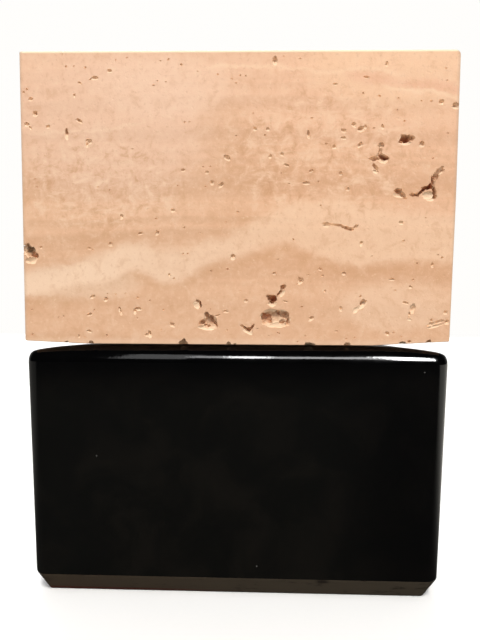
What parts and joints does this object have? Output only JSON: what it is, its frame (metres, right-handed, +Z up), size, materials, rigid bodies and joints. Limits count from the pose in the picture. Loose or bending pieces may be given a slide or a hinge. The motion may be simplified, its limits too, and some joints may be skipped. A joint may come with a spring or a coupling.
{
  "type": "travertine chunk on stand",
  "caption": "Sawn rectangular travertine block with open pores, vugs and a forked crack, resting on a glossy black block stand with a crowned top and chamfered foot.",
  "frame": {"origin": "middle of the stand's footprint, on the surface that it stands on", "axes": "+Z up, the stone's porous front face looks along -Y, +X to the right as seen from the front"},
  "size_m": [0.121, 0.0426, 0.154],
  "materials": {
    "travertine": "matte",
    "black_lacquer": "gloss"
  },
  "bodies": {
    "root": {"travertine_block": "travertine", "stand": "black_lacquer"}
  },
  "joints": []
}
